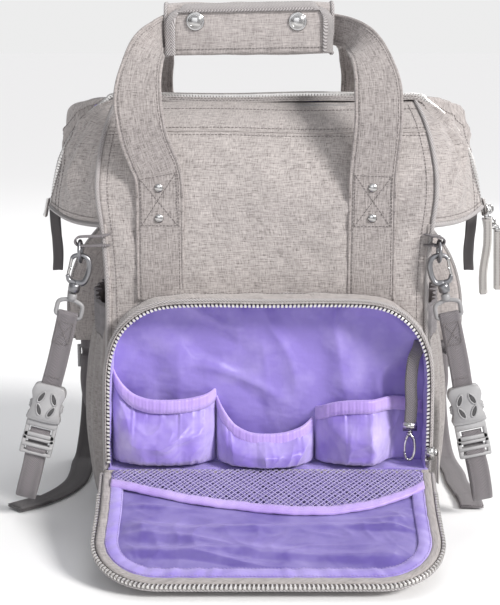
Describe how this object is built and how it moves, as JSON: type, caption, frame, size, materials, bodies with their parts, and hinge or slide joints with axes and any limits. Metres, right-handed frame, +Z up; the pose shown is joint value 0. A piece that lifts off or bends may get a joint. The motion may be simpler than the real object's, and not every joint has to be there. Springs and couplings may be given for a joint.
{
  "type": "diaper bag",
  "caption": "Wide-mouth backpack with a hinged mouth frame, fold-down front organiser pocket, wrapped carry grip, side pockets, clip-on stroller straps and padded shoulder straps.",
  "frame": {"origin": "centre of the base panel on the surface the bag stands on", "axes": "+X towards the viewer's right of the bag's front, -Y out of the front, +Z up"},
  "size_m": [0.4986, 0.4135, 0.514],
  "materials": {
    "shell_fabric": "melange polyester, padded",
    "pad_fabric": "melange polyester over foam",
    "webbing": "ribbed herringbone webbing",
    "foam": "closed-cell foam core",
    "board": "stiffener board",
    "lining_fabric": "satin lining",
    "lining_light": "gathered satin",
    "mesh_fabric": "mesh with elastic",
    "zip_chain": "moulded teeth on woven tape",
    "polished_metal": "polished",
    "satin_metal": "satin",
    "steel_wire": "spring wire",
    "grey_plastic": "moulded acetal",
    "pull_leather": "coated strip"
  },
  "bodies": {
    "bag": {"base_panel": "shell_fabric", "stiffeners": "board", "front_panel": "shell_fabric", "back_panel": "shell_fabric", "back_pads": "pad_fabric", "side_panels": "shell_fabric", "main_lining": "lining_fabric", "side_pockets": "shell_fabric", "handle_front": "webbing", "handle_back": "webbing", "handle_rivets": "polished_metal", "grip_core": "foam", "grip_wrap": "pad_fabric", "snap_studs": "polished_metal", "pocket_gusset": "shell_fabric", "pocket_zip": "zip_chain", "pocket_backing": "lining_fabric", "organizer_pockets": "lining_light", "side_loops": "webbing", "side_rings": "satin_metal", "shoulder_straps": "pad_fabric", "shoulder_webbing": "webbing", "ladder_locks": "grey_plastic"},
    "front_jaw": {"front_yoke_bands": "shell_fabric", "front_wire": "steel_wire", "front_wings": "shell_fabric", "main_zip_front": "zip_chain", "zip_end_tabs": "webbing"},
    "back_jaw": {"back_yoke_bands": "shell_fabric", "back_wire": "steel_wire", "back_wings": "shell_fabric", "main_zip_back": "zip_chain"},
    "grip_cover": {"grip_flap": "pad_fabric", "snap_caps": "polished_metal"},
    "slider_a": {"main_slider_a": "polished_metal"},
    "pull_a": {"main_pull_a": "pull_leather"},
    "slider_b": {"main_slider_b": "polished_metal"},
    "pull_b": {"main_pull_b": "pull_leather"},
    "flap": {"flap_shell": "shell_fabric", "flap_lining": "lining_fabric", "flap_zip": "zip_chain", "mesh_pocket": "mesh_fabric"},
    "pocket_slider": {"pocket_slider": "polished_metal"},
    "pocket_pull": {"pocket_pull": "pull_leather"},
    "leash": {"key_leash": "webbing"},
    "leash_hook": {"key_hook": "polished_metal"},
    "left_clip": {"left_hook": "satin_metal"},
    "left_clip_gate": {"left_gate": "satin_metal"},
    "left_strap": {"left_swivel_loop": "grey_plastic", "left_web": "webbing", "left_buckle_socket": "grey_plastic"},
    "left_strap_end": {"left_buckle_plug": "grey_plastic", "left_tail": "webbing"},
    "right_clip": {"right_hook": "satin_metal"},
    "right_clip_gate": {"right_gate": "satin_metal"},
    "right_strap": {"right_swivel_loop": "grey_plastic", "right_web": "webbing", "right_buckle_socket": "grey_plastic"},
    "right_strap_end": {"right_buckle_plug": "grey_plastic", "right_tail": "webbing"}
  },
  "joints": [
    {"name": "mouth_front", "type": "hinge", "parent": "bag", "child": "front_jaw", "pos_m": [0, -0.08, 0.345], "axis": [1, 0, 0], "range_deg": [0, 35]},
    {"name": "mouth_back", "type": "hinge", "parent": "bag", "child": "back_jaw", "pos_m": [0, 0.08, 0.345], "axis": [1, 0, 0], "range_deg": [-35, 0]},
    {"name": "grip_wrap_flap", "type": "hinge", "parent": "bag", "child": "grip_cover", "pos_m": [0, -0.022, 0.462], "axis": [1, 0, 0], "range_deg": [0, 150]},
    {"name": "main_slider_a_travel", "type": "slide", "parent": "front_jaw", "child": "slider_a", "axis": [-0.2, 0, 0.9798], "range_m": [0, 0.008]},
    {"name": "main_slider_b_travel", "type": "slide", "parent": "front_jaw", "child": "slider_b", "axis": [-0.2, 0, 0.9798], "range_m": [0, 0.003]},
    {"name": "main_pull_a_swing", "type": "hinge", "parent": "slider_a", "child": "pull_a", "pos_m": [0.23387, 0, 0.30442], "axis": [0, 1, 0], "range_deg": [-60, 0]},
    {"name": "main_pull_b_swing", "type": "hinge", "parent": "slider_b", "child": "pull_b", "pos_m": [0.23667, 0, 0.2907], "axis": [0, 1, 0], "range_deg": [-60, 0]},
    {"name": "pocket_flap", "type": "hinge", "parent": "bag", "child": "flap", "pos_m": [0, -0.14, 0.064], "axis": [1, 0, 0], "range_deg": [-109, 0]},
    {"name": "pocket_slider_travel", "type": "slide", "parent": "bag", "child": "pocket_slider", "axis": [0, 0, 1], "range_m": [0, 0.088]},
    {"name": "pocket_pull_swing", "type": "hinge", "parent": "pocket_slider", "child": "pocket_pull", "pos_m": [0.159, -0.135, 0.082], "axis": [1, 0, 0], "range_deg": [-60, 60]},
    {"name": "key_leash_swing", "type": "hinge", "parent": "bag", "child": "leash", "pos_m": [0.14, -0.126, 0.176], "axis": [0, 1, 0], "range_deg": [0, 70]},
    {"name": "key_hook_swivel", "type": "hinge", "parent": "leash", "child": "leash_hook", "pos_m": [0.14, -0.126, 0.099], "axis": [0, 0, 1], "continuous": true},
    {"name": "left_clip_swing", "type": "hinge", "parent": "bag", "child": "left_clip", "pos_m": [-0.181, -0.106, 0.266], "axis": [0, 1, 0], "range_deg": [0, 40]},
    {"name": "left_gate_hinge", "type": "hinge", "parent": "left_clip", "child": "left_clip_gate", "pos_m": [-0.19322, -0.106, 0.2547], "axis": [0, 1, 0], "range_deg": [0, 15], "stiffness_Nm_per_rad": 0.01},
    {"name": "left_clip_swivel", "type": "hinge", "parent": "left_clip", "child": "left_strap", "pos_m": [-0.18926, -0.106, 0.23405], "axis": [0.2504, 0, 0.9681], "range_deg": [-90, 90]},
    {"name": "left_buckle_release", "type": "slide", "parent": "left_strap", "child": "left_strap_end", "axis": [-0.2504, 0, -0.9681], "range_m": [0, 0.022]},
    {"name": "right_clip_swing", "type": "hinge", "parent": "bag", "child": "right_clip", "pos_m": [0.167, -0.106, 0.266], "axis": [0, -1, 0], "range_deg": [0, 40]},
    {"name": "right_gate_hinge", "type": "hinge", "parent": "right_clip", "child": "right_clip_gate", "pos_m": [0.17874, -0.106, 0.2542], "axis": [0, -1, 0], "range_deg": [0, 15], "stiffness_Nm_per_rad": 0.01},
    {"name": "right_clip_swivel", "type": "hinge", "parent": "right_clip", "child": "right_strap", "pos_m": [0.17392, -0.106, 0.23373], "axis": [-0.2096, 0, 0.9778], "range_deg": [-90, 90]},
    {"name": "right_buckle_release", "type": "slide", "parent": "right_strap", "child": "right_strap_end", "axis": [0.2096, 0, -0.9778], "range_m": [0, 0.022]}
  ],
  "couplings": [
    {"joint": "mouth_back", "follows": "mouth_front", "ratio": -1}
  ]
}
